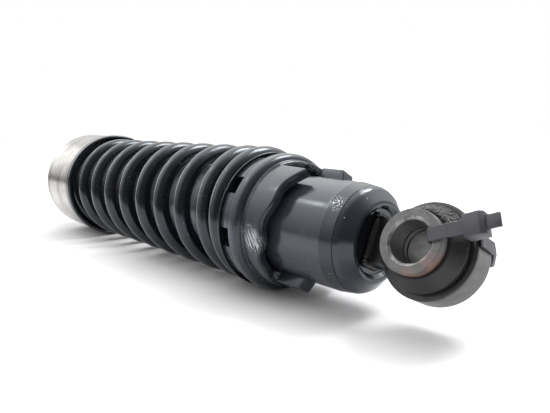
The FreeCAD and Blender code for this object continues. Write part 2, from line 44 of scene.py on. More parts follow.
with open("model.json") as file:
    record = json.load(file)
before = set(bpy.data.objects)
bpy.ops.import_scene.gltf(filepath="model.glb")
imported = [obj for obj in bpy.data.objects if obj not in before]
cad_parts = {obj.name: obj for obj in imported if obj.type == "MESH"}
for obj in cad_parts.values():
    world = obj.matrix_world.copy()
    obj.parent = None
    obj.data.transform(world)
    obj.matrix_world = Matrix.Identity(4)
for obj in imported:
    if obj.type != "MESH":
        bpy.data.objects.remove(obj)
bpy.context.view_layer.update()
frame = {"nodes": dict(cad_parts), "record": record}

MM = 0.001
BOLT_ROLL = math.radians(25.4)
FINE = 0.14 * MM
RIM_RADIUS = 37.1 * MM
BEAD_RADIUS = 33.4 * MM

# The camera, as fitted to the object's circles.
CAMERA_PLACE = Vector((97.5, -167.1, 50.1)) * MM
CAMERA_YAW = 0.840
CAMERA_PITCH = -0.172
CAMERA_LENS = 33.46


# ---------------------------------------------------------------- frames to build in

class Axis:
    """An axis to turn shapes round: a point, the way along it, and two ways across it."""

    def __init__(self, origin, along, first, second):
        self.origin = Vector(origin)
        self.along = Vector(along)
        self.first = Vector(first)
        self.second = Vector(second)

    def at(self, along, radius, angle):
        across = self.first * math.cos(angle) + self.second * math.sin(angle)
        return self.origin + self.along * along + across * radius

    def place(self, along, one, two):
        return self.origin + self.along * along + self.first * one + self.second * two


def eye_axis(name):
    """The bolt's axis through an eye, found from its sleeve."""
    low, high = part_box(name)
    near = (0.0, -math.cos(BOLT_ROLL), math.sin(BOLT_ROLL))
    up = (0.0, math.sin(BOLT_ROLL), math.cos(BOLT_ROLL))
    return Axis(((low.x + high.x) / 2, 0.0, 0.0), near, (1.0, 0.0, 0.0), up)


DAMPER = Axis((0, 0, 0), (-1, 0, 0), (0, -1, 0), (0, 0, 1))
LOWER_EYE = eye_axis("lower_sleeve")
UPPER_EYE = eye_axis("upper_sleeve")


def stations(node):
    """Where a node starts and ends along the damper, and its largest radius."""
    low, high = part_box(node)
    return -high.x, -low.x, high.z


# ---------------------------------------------------------------- meshes

def rounded(corners, steps=6, spacing=4 * MM):
    """A closed outline of (along, across, round) corners, as points with its corners rounded."""
    points = []
    count = len(corners)
    for index, (along, across, size) in enumerate(corners):
        here = Vector((along, across))
        if size == 0:
            points.append(here)
            continue
        back = (Vector(corners[index - 1][:2]) - here).normalized()
        onward = (Vector(corners[(index + 1) % count][:2]) - here).normalized()
        half = back.angle(onward) / 2
        reach = size / math.tan(half)
        centre = here + (back + onward).normalized() * (size / math.sin(half))
        spoke = here + back * reach - centre
        last = here + onward * reach - centre
        sweep = math.copysign(math.pi - 2 * half, spoke.x * last.y - spoke.y * last.x)
        points.append(here + back * (reach + FINE))
        for step in range(steps + 1):
            turn = sweep * step / steps
            turned = Vector((
                spoke.x * math.cos(turn) - spoke.y * math.sin(turn),
                spoke.x * math.sin(turn) + spoke.y * math.cos(turn),
            ))
            points.append(centre + turned)
        points.append(here + onward * (reach + FINE))
    filled = []
    for index, point in enumerate(points):
        after = points[(index + 1) % len(points)]
        parts = max(1, round((after - point).length / spacing))
        for part in range(parts):
            filled.append(point.lerp(after, part / parts))
    return filled


def make_mesh(name, points, faces):
    mesh = bpy.data.meshes.new(name)
    mesh.from_pydata([tuple(point) for point in points], [], faces)
    mesh.update()
    return mesh


def tidy_mesh(mesh, sharp=38.0):
    """Welds doubled points, turns all faces outward and smooths all but the sharp edges."""
    work = bmesh.new()
    work.from_mesh(mesh)
    bmesh.ops.remove_doubles(work, verts=work.verts, dist=0.002 * MM)
    bmesh.ops.dissolve_degenerate(work, edges=work.edges, dist=0.001 * MM)
    bmesh.ops.recalc_face_normals(work, faces=work.faces)
    work.to_mesh(mesh)
    work.free()
    mesh.shade_smooth()
    mesh.set_sharp_from_angle(angle=math.radians(sharp))
    return mesh


def add_object(name, mesh):
    made = bpy.data.objects.new(name, mesh)
    bpy.context.scene.collection.objects.link(made)
    return made


def lathe_mesh(name, axis, corners, segments=240, steps=6, spacing=4 * MM, wobble=0.0, grain=40.0):
    """A ring or disc turned round an axis, with a slight hand-finished unevenness."""
    ring = rounded(corners, steps, spacing)
    size = len(ring)
    points = []
    for index in range(segments):
        angle = 2 * math.pi * index / segments
        for along, radius in ring:
            point = axis.at(along, radius, angle)
            if wobble and radius > MM:
                radius += wobble * noise.noise(point * grain)
                point = axis.at(along, radius, angle)
            points.append(point)
    faces = []
    for index in range(segments):
        here, there = index * size, (index + 1) % segments * size
        for step in range(size):
            onward = (step + 1) % size
            faces.append((here + step, there + step, there + onward, here + onward))
    return tidy_mesh(make_mesh(name, points, faces))


def block_mesh(name, axis, outline, low, high):
    """An outline in (along, across) of an axis, raised from low to high in its third way."""
    size = len(outline)
    points = [axis.place(along, across, low) for along, across in outline]
    points += [axis.place(along, across, high) for along, across in outline]
    faces = [tuple(range(size)), tuple(range(size, 2 * size))]
    for step in range(size):
        onward = (step + 1) % size
        faces.append((step, onward, onward + size, step + size))
    return make_mesh(name, points, faces)


def applied(piece, name):
    """The object's mesh with its modifiers worked in."""
    graph = bpy.context.evaluated_depsgraph_get()
    mesh = bpy.data.meshes.new_from_object(piece.evaluated_get(graph))
    mesh.name = name
    bpy.data.objects.remove(piece)
    return mesh


def bevelled(mesh, width, segments=3, angle=35.0):
    """The mesh with its sharp edges rounded."""
    work = add_object("work", tidy_mesh(mesh))
    bevel = work.modifiers.new("bevel", "BEVEL")
    bevel.width = width
    bevel.segments = segments
    bevel.limit_method = "ANGLE"
    bevel.angle_limit = math.radians(angle)
    return tidy_mesh(applied(work, mesh.name))


def fused(name, meshes, voxel, smoothing):
    """Several closed meshes grown into one skin, as a weld or a casting joins them."""
    points = []
    faces = []
    for mesh in meshes:
        start = len(points)
        points += [vertex.co.copy() for vertex in mesh.vertices]
        faces += [tuple(start + corner for corner in face.vertices) for face in mesh.polygons]
    work = add_object("work", make_mesh(name, points, faces))
    remesh = work.modifiers.new("remesh", "REMESH")
    remesh.mode = "VOXEL"
    remesh.voxel_size = voxel
    smooth = work.modifiers.new("smooth", "SMOOTH")
    smooth.iterations = smoothing
    smooth.factor = 0.5
    mesh = applied(work, name)
    mesh.shade_smooth()
    return mesh


def paint_wear(mesh, amount):
    """How far the finish is rubbed away at each point of a mesh, from 0 to 1."""
    wear = mesh.attributes.new("wear", "FLOAT", "POINT")
    wear.data.foreach_set("value", [amount(vertex.co) for vertex in mesh.vertices])


def paint_shade(mesh, amount):
    """How far the paint is darkened to near black at each point of a mesh, from 0 to 1; in hollows and on
    the eye ring's faces this is painted shade.
    """
    shade = mesh.attributes.new("shaded", "FLOAT", "POINT")
    shade.data.foreach_set("value", [amount(vertex.co) for vertex in mesh.vertices])


def show(name, mesh, material, body, slot, *replaced):
    """Puts a mesh in the scene as a piece of the object."""
    piece = add_object(name, mesh)
    mesh.materials.clear()
    mesh.materials.append(material)
    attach(piece, body)
    if replaced:
        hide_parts(*replaced)
    return piece


# ---------------------------------------------------------------- node helpers

class Tree:
    """A material's node tree; each call adds one node and gives back its output."""

    def __init__(self, name):
        self.material = bpy.data.materials.new(name)
        self.material.use_nodes = True
        self.nodes = self.material.node_tree.nodes
        self.links = self.material.node_tree.links
        self.shader = self.nodes["Principled BSDF"]
        self.coords = self.nodes.new("ShaderNodeTexCoord").outputs["Object"]

    def add(self, kind, inputs, **settings):
        made = self.nodes.new(kind)
        for key, value in settings.items():
            setattr(made, key, value)
        for key, value in inputs.items():
            if isinstance(value, bpy.types.NodeSocket):
                self.links.new(value, made.inputs[key])
            else:
                made.inputs[key].default_value = value
        return made

    def noise(self, scale, detail=4.0, roughness=0.55, vector=None, distortion=0.0):
        inputs = {"Vector": vector or self.coords, "Scale": scale, "Detail": detail,
                  "Roughness": roughness, "Distortion": distortion}
        return self.add("ShaderNodeTexNoise", inputs).outputs["Fac"]

    def cells(self, scale, feature="F1", vector=None):
        inputs = {"Vector": vector or self.coords, "Scale": scale}
        return self.add("ShaderNodeTexVoronoi", inputs, feature=feature).outputs["Distance"]

    def stretched(self, scale, rotation=(0.0, 0.0, 0.0)):
        """The coordinates turned, then scaled unevenly."""
        turned = self.add("ShaderNodeMapping", {"Vector": self.coords, "Rotation": rotation})
        return self.add("ShaderNodeMapping", {"Vector": turned.outputs[0], "Scale": scale}).outputs[0]

    def span(self, value, low, high, to_low=0.0, to_high=1.0):
        """Maps a range of a value onto another, held at both ends."""
        inputs = {"Value": value, "From Min": low, "From Max": high, "To Min": to_low, "To Max": to_high}
        return self.add("ShaderNodeMapRange", inputs).outputs["Result"]

    def maths(self, operation, one, two=0.0):
        return self.add("ShaderNodeMath", {0: one, 1: two}, operation=operation).outputs[0]

    def mix(self, share, one, two):
        made = self.add("ShaderNodeMix", {}, data_type="RGBA")
        for slot, value in ((0, share), (6, one), (7, two)):
            if isinstance(value, bpy.types.NodeSocket):
                self.links.new(value, made.inputs[slot])
            else:
                made.inputs[slot].default_value = value
        return made.outputs[2]

    def bump(self, height, distance, below=None, strength=1.0):
        inputs = {"Height": height, "Distance": distance, "Strength": strength}
        if below is not None:
            inputs["Normal"] = below
        return self.add("ShaderNodeBump", inputs).outputs["Normal"]

    def painted(self, name):
        """A value painted on the mesh's points; 0 where the mesh has none."""
        return self.add("ShaderNodeAttribute", {}, attribute_name=name).outputs["Fac"]

    def near(self, place, size):
        """1 at a place, falling to 0 at a distance from it."""
        gap = self.add("ShaderNodeVectorMath", {0: self.coords, 1: place}, operation="DISTANCE")
        return self.span(gap.outputs["Value"], size * 0.25, size, 1.0, 0.0)

    def scratches(self, scale, thin, vector=None):
        """Hairlines: the level line of a noise."""
        field = self.noise(scale, 2.0, 0.5, vector)
        off = self.maths("ABSOLUTE", self.maths("SUBTRACT", field, 0.5))
        return self.span(off, 0.0, thin, 1.0, 0.0)

    def finish(self, color=None, roughness=None, normal=None, metallic=None, **fixed):
        for key, value in (("Base Color", color), ("Roughness", roughness), ("Normal", normal),
                           ("Metallic", metallic)):
            if value is None:
                continue
            if isinstance(value, bpy.types.NodeSocket):
                self.links.new(value, self.shader.inputs[key])
            else:
                self.shader.inputs[key].default_value = value
        for key, value in fixed.items():
            self.shader.inputs[key.replace("_", " ")].default_value = value
        return self.material


def grey(value, blue=1.0):
    return (value, value, value * blue, 1.0)


def cool(value, chill):
    """A blue-black; a chill of 0 is a plain grey."""
    return (value * (1 - 0.12 * chill), value, value * (1 + 0.25 * chill), 1.0)


# ---------------------------------------------------------------- materials

def gloss_paint(name, tone=0.011, gloss=(0.10, 0.26), peel=0.05, film=0.35, patches=(), dings=0.73,
                chill=1.0):
    """Thick gloss black: orange peel, a dusty film in places, hairlines, chips on worn edges, and near
    black where the mesh is painted as shaded (painted shade).
    """
    tree = Tree(name)
    broad = tree.noise(45.0, 5.0, 0.6)
    cloud = tree.noise(160.0, 6.0, 0.65)
    dusty = tree.maths("MULTIPLY", tree.span(broad, 0.42, 0.72), tree.span(cloud, 0.4, 0.75))
    color = tree.mix(tree.maths("MULTIPLY", dusty, film), cool(tone, chill), cool(0.07, chill))
    hair = tree.maths("MULTIPLY", tree.scratches(220.0, 0.006), tree.span(broad, 0.45, 0.6))
    color = tree.mix(tree.maths("MULTIPLY", hair, 0.35), color, grey(0.16))
    # Painted shade: near black where the mesh's 'shaded' value is high.
    color = tree.mix(tree.painted("shaded"), color, cool(0.006, chill))
    worn = tree.painted("wear")
    break_up = tree.noise(1100.0, 6.0, 0.7)
    pits = tree.span(tree.noise(520.0, 3.0, 0.6), dings, dings + 0.02)
    chip = tree.span(tree.maths("ADD", break_up, tree.maths("MULTIPLY", worn, 0.42)), 0.83, 0.86)
    chip = tree.maths("MAXIMUM", chip, pits)
    bare = chip
    for place, size, turn, amount, fineness in patches:
        grain = tree.stretched((55.0 * fineness, 1300.0 * fineness, 1300.0 * fineness), turn)
        strokes = tree.span(tree.noise(1.0, 2.0, 0.6, grain), 0.64 - 0.14 * amount, 0.68 - 0.12 * amount)
        bare = tree.maths("MAXIMUM", bare, tree.maths("MULTIPLY", strokes, tree.near(place, size)))
    color = tree.mix(bare, color, grey(0.60))
    rough = tree.span(tree.noise(300.0, 5.0, 0.6), 0.3, 0.75, *gloss)
    rough = tree.maths("ADD", rough, tree.maths("MULTIPLY", dusty, 0.22))
    rough = tree.maths("ADD", rough, tree.maths("MULTIPLY", bare, 0.2))
    waves = tree.bump(tree.noise(260.0, 3.0, 0.5), peel * MM)
    rough_skin = tree.bump(tree.noise(1500.0, 4.0, 0.6), 0.012 * MM, waves)
    skin = tree.bump(tree.maths("SUBTRACT", 1.0, bare), 0.06 * MM, rough_skin)
    return tree.finish(color, rough, skin, tree.maths("MULTIPLY", bare, 0.35), IOR=1.52,
                       Specular_Tint=(1 - 0.16 * chill, 1 - 0.08 * chill, 1.0, 1.0))


def chrome(name):
    """Aged chrome: turning marks, a yellowed haze, fingerprints and small pits."""
    tree = Tree(name)
    smudge = tree.noise(70.0, 6.0, 0.65)
    haze = tree.noise(1.0, 4.0, 0.6, tree.stretched((95.0, 24.0, 24.0)))
    rings = tree.noise(1.0, 3.0, 0.5, tree.stretched((420.0, 14.0, 14.0)))
    pits = tree.span(tree.cells(900.0), 0.0, 0.16, 1.0, 0.0)
    pits = tree.maths("MULTIPLY", pits, tree.span(tree.noise(120.0), 0.56, 0.64))
    color = tree.mix(tree.span(smudge, 0.4, 0.7), (0.36, 0.35, 0.335, 1.0), (0.25, 0.24, 0.22, 1.0))
    color = tree.mix(tree.span(haze, 0.44, 0.64, 0.0, 0.85), color, (0.155, 0.14, 0.115, 1.0))
    color = tree.mix(tree.maths("MULTIPLY", pits, 0.8), color, (0.10, 0.08, 0.06, 1.0))
    rough = tree.span(smudge, 0.35, 0.75, 0.08, 0.24)
    rough = tree.maths("ADD", rough, tree.maths("MULTIPLY", rings, 0.1))
    skin = tree.bump(rings, 0.014 * MM)
    skin = tree.bump(tree.noise(75.0, 3.0, 0.5), 0.2 * MM, skin)
    return tree.finish(color, rough, skin, Metallic=1.0)


def weathered_steel(name, tone=0.30, rust=()):
    """Bare steel gone dull: fine scratches every way, mottling and a bloom of rust."""
    tree = Tree(name)
    mottle = tree.noise(190.0, 7.0, 0.68)
    speck = tree.noise(900.0, 5.0, 0.7)
    color = tree.mix(tree.span(mottle, 0.35, 0.7), grey(tone * 0.62), grey(tone * 1.15, 0.98))
    color = tree.mix(tree.span(speck, 0.6, 0.75, 0.0, 0.55), color, grey(tone * 0.35))
    lines = tree.maths("MAXIMUM", tree.scratches(300.0, 0.008), tree.scratches(520.0, 0.006))
    color = tree.mix(tree.maths("MULTIPLY", lines, 0.45), color, grey(tone * 2.0))
    for place, size in rust:
        bloom = tree.maths("MULTIPLY", tree.near(place, size), tree.span(mottle, 0.36, 0.62))
        color = tree.mix(tree.maths("MULTIPLY", bloom, 0.85), color, (0.26, 0.085, 0.045, 1.0))
    rubbed = tree.maths("MULTIPLY", tree.painted("wear"), tree.span(mottle, 0.38, 0.6))
    color = tree.mix(rubbed, color, grey(tone * 3.0))
    rough = tree.span(mottle, 0.3, 0.75, 0.36, 0.58)
    skin = tree.bump(tree.noise(420.0, 6.0, 0.65), 0.06 * MM)
    skin = tree.bump(lines, 0.02 * MM, skin, strength=0.6)
    return tree.finish(color, rough, skin, Metallic=0.45)


def weathered_rubber(name, tone=0.007):
    """Old rubber: satin, with a bloom, and crumbled where the mesh is painted as perished, where it also
    gets painted highlight specks.
    """
    tree = Tree(name)
    cloud = tree.noise(130.0, 6.0, 0.62)
    perished = tree.painted("wear")
    crumbs = tree.cells(1250.0)
    color = tree.mix(tree.span(cloud, 0.4, 0.75), grey(tone, 1.08), grey(tone * 1.8, 1.06))
    # Painted highlight: pale glints on the perished rubber, which lies only on the upper, lit side.
    glint = tree.maths("MULTIPLY", tree.span(tree.noise(2300.0, 3.0, 0.7), 0.60, 0.66), perished)
    color = tree.mix(tree.maths("MULTIPLY", glint, 0.5), color, grey(0.14))
    specks = tree.span(tree.noise(760.0, 4.0, 0.6), 0.70, 0.73)
    color = tree.mix(tree.maths("MULTIPLY", specks, 0.35), color, grey(0.18))
    rough = tree.span(cloud, 0.3, 0.75, 0.34, 0.55)
    skin = tree.bump(tree.maths("MULTIPLY", crumbs, perished), 0.5 * MM)
    skin = tree.bump(tree.noise(700.0, 5.0, 0.6), 0.03 * MM, skin)
    return tree.finish(color, rough, skin, IOR=1.42)


def nylon(name):
    """Dark cable-tie nylon: moulded grain, a faint bloom, pale specks here and there."""
    tree = Tree(name)
    cloud = tree.noise(210.0, 5.0, 0.6)
    color = tree.mix(tree.span(cloud, 0.3, 0.7), (0.022, 0.021, 0.029, 1), (0.042, 0.040, 0.051, 1))
    color = tree.mix(tree.span(tree.noise(1500.0, 3.0, 0.6), 0.66, 0.72, 0.0, 0.4), color, grey(0.16))
    rough = tree.span(cloud, 0.3, 0.7, 0.36, 0.52)
    skin = tree.bump(tree.noise(1300.0, 4.0, 0.6), 0.02 * MM)
    return tree.finish(color, rough, skin, IOR=1.5)


def plated_steel(name, light, dark, rough=(0.25, 0.42), metallic=1.0):
    """Machined or plated metal: turning rings, stains and a few pits."""
    tree = Tree(name)
    stain = tree.noise(150.0, 6.0, 0.62)
    rings = tree.noise(1.0, 2.0, 0.5, tree.stretched((1600.0, 40.0, 40.0)))
    color = tree.mix(tree.span(stain, 0.35, 0.7), light, dark)
    skin = tree.bump(rings, 0.02 * MM)
    skin = tree.bump(tree.noise(600.0, 4.0, 0.6), 0.02 * MM, skin)
    return tree.finish(color, tree.span(stain, 0.3, 0.7, *rough), skin, Metallic=metallic)


def soft_part(name, light, dark, grain, depth, rough=(0.45, 0.65)):
    """Moulded rubber or plastic: a grain, blooming and fine specks."""
    tree = Tree(name)
    cloud = tree.noise(180.0, 5.0, 0.6)
    color = tree.mix(tree.span(cloud, 0.35, 0.7), light, dark)
    skin = tree.bump(tree.noise(grain, 5.0, 0.65), depth)
    return tree.finish(color, tree.span(cloud, 0.3, 0.7, *rough), skin)


# ---------------------------------------------------------------- the eyes

SLEEVE_RADIUS = 12.0 * MM
SLEEVE_HALF = 19.0 * MM
BORE_RADIUS = 8.0 * MM
EYE_RADIUS = 18.8 * MM
EYE_BORE = 15.2 * MM
EYE_HALF = 6.3 * MM


def bore_rub(point, axis):
    """The bolt has rubbed the bore's two lips bright."""
    spoke = point - axis.origin
    height = spoke.dot(axis.along)
    radius = (spoke - axis.along * height).length
    return 0.8 if abs(height) > SLEEVE_HALF - 1.2 * MM and radius < BORE_RADIUS + 1.1 * MM else 0.0


def make_sleeve(name, axis, body, material, node):
    """The steel sleeve: a rubbed face, a worn lip at the bore and a shallow ring inside it."""
    face, lip = SLEEVE_HALF, 0.9 * MM
    ridge, ridge_half = 9.0 * MM, 0.5 * MM
    corners = [(face, SLEEVE_RADIUS, 0.3 * MM), (face, BORE_RADIUS + lip, 0.35 * MM)]
    corners.append((face - lip, BORE_RADIUS, 0.4 * MM))
    for middle in (ridge, ridge - 3.0 * MM, -ridge):
        corners.append((middle + ridge_half, BORE_RADIUS, 0.0))
        corners.append((middle + ridge_half, BORE_RADIUS + 0.25 * MM, 0.0))
        corners.append((middle - ridge_half, BORE_RADIUS + 0.25 * MM, 0.0))
        corners.append((middle - ridge_half, BORE_RADIUS, 0.0))
    corners += [(-face + lip, BORE_RADIUS, 0.4 * MM), (-face, BORE_RADIUS + lip, 0.35 * MM)]
    corners.append((-face, SLEEVE_RADIUS, 0.3 * MM))
    mesh = lathe_mesh(name, axis, corners, 200, 6, 3 * MM, 0.05 * MM, 160.0)
    paint_wear(mesh, lambda point: bore_rub(point, axis))
    show(name, mesh, material, body, "bare_steel", node)


def perished(point, axis):
    """How crumbled the bush's rubber is, which also places its painted highlight specks: only on its upper
    side, near face.
    """
    spoke = point - axis.origin
    angle = math.degrees(math.atan2(spoke.dot(axis.second), spoke.dot(axis.first)))
    height = spoke.dot(axis.along)
    if height < 6.5 * MM:
        return 0.0
    edge = noise.noise(point * 400.0) * 14.0
    low = max(0.0, min(1.0, (angle - 26.0 + edge) / 14.0))
    high = max(0.0, min(1.0, (172.0 - angle + edge) / 18.0))
    return low * high


def crumble(mesh, axis):
    """Breaks the perished rubber's skin into crumbs and paints the amount on it as 'wear', which the rubber
    uses for its crumbs and its painted highlight specks.
    """
    outward = [vertex.normal.copy() for vertex in mesh.vertices]
    places = [vertex.co.copy() for vertex in mesh.vertices]
    amounts = [perished(place, axis) for place in places]
    mesh.attributes.new("wear", "FLOAT", "POINT").data.foreach_set("value", amounts)
    moved = []
    for place, normal, amount in zip(places, outward, amounts):
        spoke = place - axis.origin
        if amount > 0 and (spoke - axis.along * spoke.dot(axis.along)).length > 12.4 * MM:
            lump = noise.cell(place * 1500.0) + noise.noise(place * 1300.0)
            place = place + normal * (amount * lump * 0.22 * MM)
        moved += place[:]
    mesh.vertices.foreach_set("co", moved)
    mesh.update()


def make_bush(name, axis, body, material, node, crumbled):
    """The rubber bush: a cone and a flange each side of the eye, and perished rubber on top."""
    bore = SLEEVE_RADIUS + 0.13 * MM
    near = [(14.8 * MM, bore, 0.0), (14.8 * MM, 13.1 * MM, 0.7 * MM), (9.2 * MM, 16.6 * MM, 0.55 * MM),
            (6.45 * MM, 16.5 * MM, 0.1 * MM), (6.45 * MM, 15.1 * MM, 0.0)]
    far = [(-along, across, size) for along, across, size in reversed(near)]
    mesh = lathe_mesh(name, axis, near + far, 420, 5, 0.45 * MM, 0.12 * MM, 150.0)
    if crumbled:
        crumble(mesh, axis)
    show(name, mesh, material, body, "bush_rubber", node)


def make_lower_eye(material):
    """The lower eye: a forged ring, its flat neck, and the weld that joins it to the end cap."""
    ring = lathe_mesh("ring", LOWER_EYE, [
        (-EYE_HALF, EYE_BORE, 0.3 * MM), (-EYE_HALF, EYE_RADIUS, 0.9 * MM),
        (EYE_HALF, EYE_RADIUS, 0.45 * MM), (EYE_HALF, EYE_BORE, 0.3 * MM)], 240)
    root, tip, half = 10.5 * MM, 9.0 * MM, 5.2 * MM
    back, front = -26.7 * MM, -16.0 * MM
    flat = Axis(LOWER_EYE.origin, LOWER_EYE.first, LOWER_EYE.second, LOWER_EYE.along)
    neck = block_mesh("neck", flat, [(back, -root), (front, -tip), (front, tip), (back, root)], -half, half)
    beads = [tidy_mesh(neck), ring]
    rng = random.Random(7)
    count = 58
    for index in range(count):
        turn = 2 * math.pi * (index + rng.uniform(-0.3, 0.3)) / count
        reach = min(root / max(abs(math.sin(turn)), 1e-6), half / max(abs(math.cos(turn)), 1e-6))
        across, deep = reach * math.sin(turn), reach * math.cos(turn)
        size = rng.uniform(1.15, 1.5) * MM
        blob = Axis(flat.place(back + 0.7 * MM, across, deep), flat.along, flat.first, flat.second)
        beads.append(lathe_mesh("bead", blob, [
            (-size, 0.0, 0.0), (-size * 0.7, size * 0.7, 0.0), (0.0, size, 0.0),
            (size * 0.7, size * 0.7, 0.0), (size, 0.0, 0.0)], 10, 1, 1.0))
    mesh = fused("eye_forging", beads, 0.4 * MM, 9)
    # Painted shade in the cap's well and on the ring's faces.
    paint_shade(mesh, lower_eye_shade)
    show("eye_forging", mesh, material, "damper_body", "black_paint", "lower_eye")


def lower_eye_shade(point):
    """Painted shade: near black deep in the cap's well and on the ring's two faces."""
    spoke = point - LOWER_EYE.origin
    height = spoke.dot(LOWER_EYE.along)
    radius = (spoke - LOWER_EYE.along * height).length
    if radius < 18.5 * MM and abs(height) > 5.9 * MM:
        return 0.9
    return min(1.0, max(0.0, (-point.x / MM - 18.0) / 3.0))


def make_upper_eye(material):
    """The upper eye: a ring, a neck, and the threaded spigot that goes through the cover."""
    ring = lathe_mesh("ring", UPPER_EYE, [
        (-EYE_HALF, EYE_BORE, 0.3 * MM), (-EYE_HALF, EYE_RADIUS, 0.9 * MM),
        (EYE_HALF, EYE_RADIUS, 0.9 * MM), (EYE_HALF, EYE_BORE, 0.3 * MM)], 240)
    flat = Axis(UPPER_EYE.origin, UPPER_EYE.first, UPPER_EYE.second, UPPER_EYE.along)
    root, tip, half = 10.0 * MM, 9.0 * MM, 5.2 * MM
    front, back = 16.0 * MM, 19.0 * MM
    neck = block_mesh("neck", flat, [(front, -tip), (back, -root), (back, root), (front, tip)], -half, half)
    start, middle, shoulder = stations("spring_cover")[1] + 0.3 * MM, 322.0 * MM, 13.0 * MM
    foot = stations("lock_nut")[1] + 0.1 * MM
    spigot = lathe_mesh("spigot", DAMPER, [
        (foot, 6.1 * MM, 0.0), (foot, 9.0 * MM, 0.5 * MM), (start, 9.0 * MM, 0.0),
        (start, shoulder, 0.4 * MM), (middle, shoulder, 0.4 * MM), (middle, 6.1 * MM, 0.0)], 96)
    mesh = fused("upper_eye_forging", [ring, tidy_mesh(neck), spigot], 0.45 * MM, 3)
    show("upper_eye_forging", mesh, material, "rod_assembly", "black_paint", "upper_eye")


# ---------------------------------------------------------------- the damper's body

def make_tube(material):
    """The damper tube, drawn in a little towards the end cap's seam."""
    start, end, radius = stations("damper_tube")
    mesh = lathe_mesh("damper_shell", DAMPER, [
        (start, 21.7 * MM, 0.0), (start, radius - 0.9 * MM, 0.12 * MM), (start + 6 * MM, radius, 0.1 * MM),
        (end, radius, 0.9 * MM), (end, 21.7 * MM, 0.0)], 320, 6, 3 * MM, 0.035 * MM, 70.0)
    # The drawn-in band by the seam is painted darker.
    paint_shade(mesh, lambda point: 0.8 if -point.x < start + 6.05 * MM else 0.0)
    show("damper_shell", mesh, material, "damper_body", "black_paint", "damper_tube")


def make_end_cap(material):
    """The end cap: a fine seam, a rounded cone, a lip and a well with the weld in it."""
    seam = stations("damper_tube")[0]
    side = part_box("damper_tube")[1].z - 0.9 * MM
    shape = [(26.6, 0.0, 0.0), (26.6, 13.6, 1.2), (24.4, 15.4, 0.5), (24.4, 16.9, 2.0), (28.6, 21.9, 4.0)]
    corners = [(along * MM, across * MM, size * MM) for along, across, size in shape]
    corners += [(seam - 0.35 * MM, side, 0.15 * MM), (seam - 0.2 * MM, side - 0.4 * MM, 0.0),
                (seam, side - 0.4 * MM, 0.0), (seam, 0.0, 0.0)]
    mesh = lathe_mesh("cap_shell", DAMPER, corners, 320, 6, 1.5 * MM, 0.04 * MM, 120.0)
    # Painted shade deep in the cap's well; the rest of the cap is painted darker too, by less.
    paint_shade(mesh, lambda point: 0.9 if math.hypot(point.y, point.z) < 15.6 * MM else 0.45)
    show("cap_shell", mesh, material, "damper_body", "black_paint", "end_cap")


def make_lug(name, node, angle, rubbed, material):
    """A lug bar: half round where it bears on the cam, with a sloped outer end."""
    start, end, _ = stations(node)
    half, top, foot = 4.0 * MM, 28.8 * MM, 23.2 * MM
    across = Vector((0, math.sin(angle), math.cos(angle)))
    up = Vector((0, -math.cos(angle), math.sin(angle)))
    lug = Axis((0, 0, 0), (-1, 0, 0), across, up)
    outline = [(end - half + half * math.sin(math.pi * step / 12), half * math.cos(math.pi * step / 12))
               for step in range(13)]
    outline += [(start, -half), (start, half)]
    mesh = block_mesh(name, lug, outline, foot, top)
    for vertex in mesh.vertices:
        if -vertex.co.x < start + 0.1 * MM and vertex.co.dot(up) > top - 0.1 * MM:
            vertex.co.x -= 2.2 * MM
    mesh = bevelled(mesh, 0.8 * MM, 4, 25.0)
    paint_wear(mesh, lambda point: rubbed if point.dot(up) > top - 1.0 * MM else 0.15)
    show(name, mesh, material, "damper_body", "black_paint", node)


# ---------------------------------------------------------------- the preload collar

CAM_FIRST = -60.0
CAM_SEAT = 70.45 * MM
CAM_LIFT = 0.1 * MM
CAM_STEP = 36.0
CAM_SCALLOP = 1.7 * MM
CAM_PEAK = 132.0
CAM_RELIEF = -11.0
RELIEF_FLOOR = 75.2 * MM
CAM_CREST = 3.5 * CAM_STEP
SLOT_COUNT = 8
SLOT_ROLL = -6.5
SLOT_HALF = 8.0


def cam_edge(angle):
    """The cam edge's station at an angle in degrees; it repeats every half turn."""
    past = (angle - CAM_FIRST) % 180.0
    if past > 180.0 + CAM_RELIEF:
        past -= 180.0
    if past > CAM_PEAK:
        return RELIEF_FLOOR
    if past <= 0:
        return CAM_SEAT + CAM_SCALLOP
    station = CAM_SEAT - CAM_LIFT * past
    if past < CAM_CREST:
        station += CAM_SCALLOP * (0.5 + 0.5 * math.cos(2 * math.pi * past / CAM_STEP))
    return station


def soft_cam_edge(angle):
    """The cam's edge under its thick paint, with its corners rounded off."""
    reach, taps = 1.1, 9
    return sum(cam_edge(angle + reach * (2 * tap / (taps - 1) - 1)) for tap in range(taps)) / taps


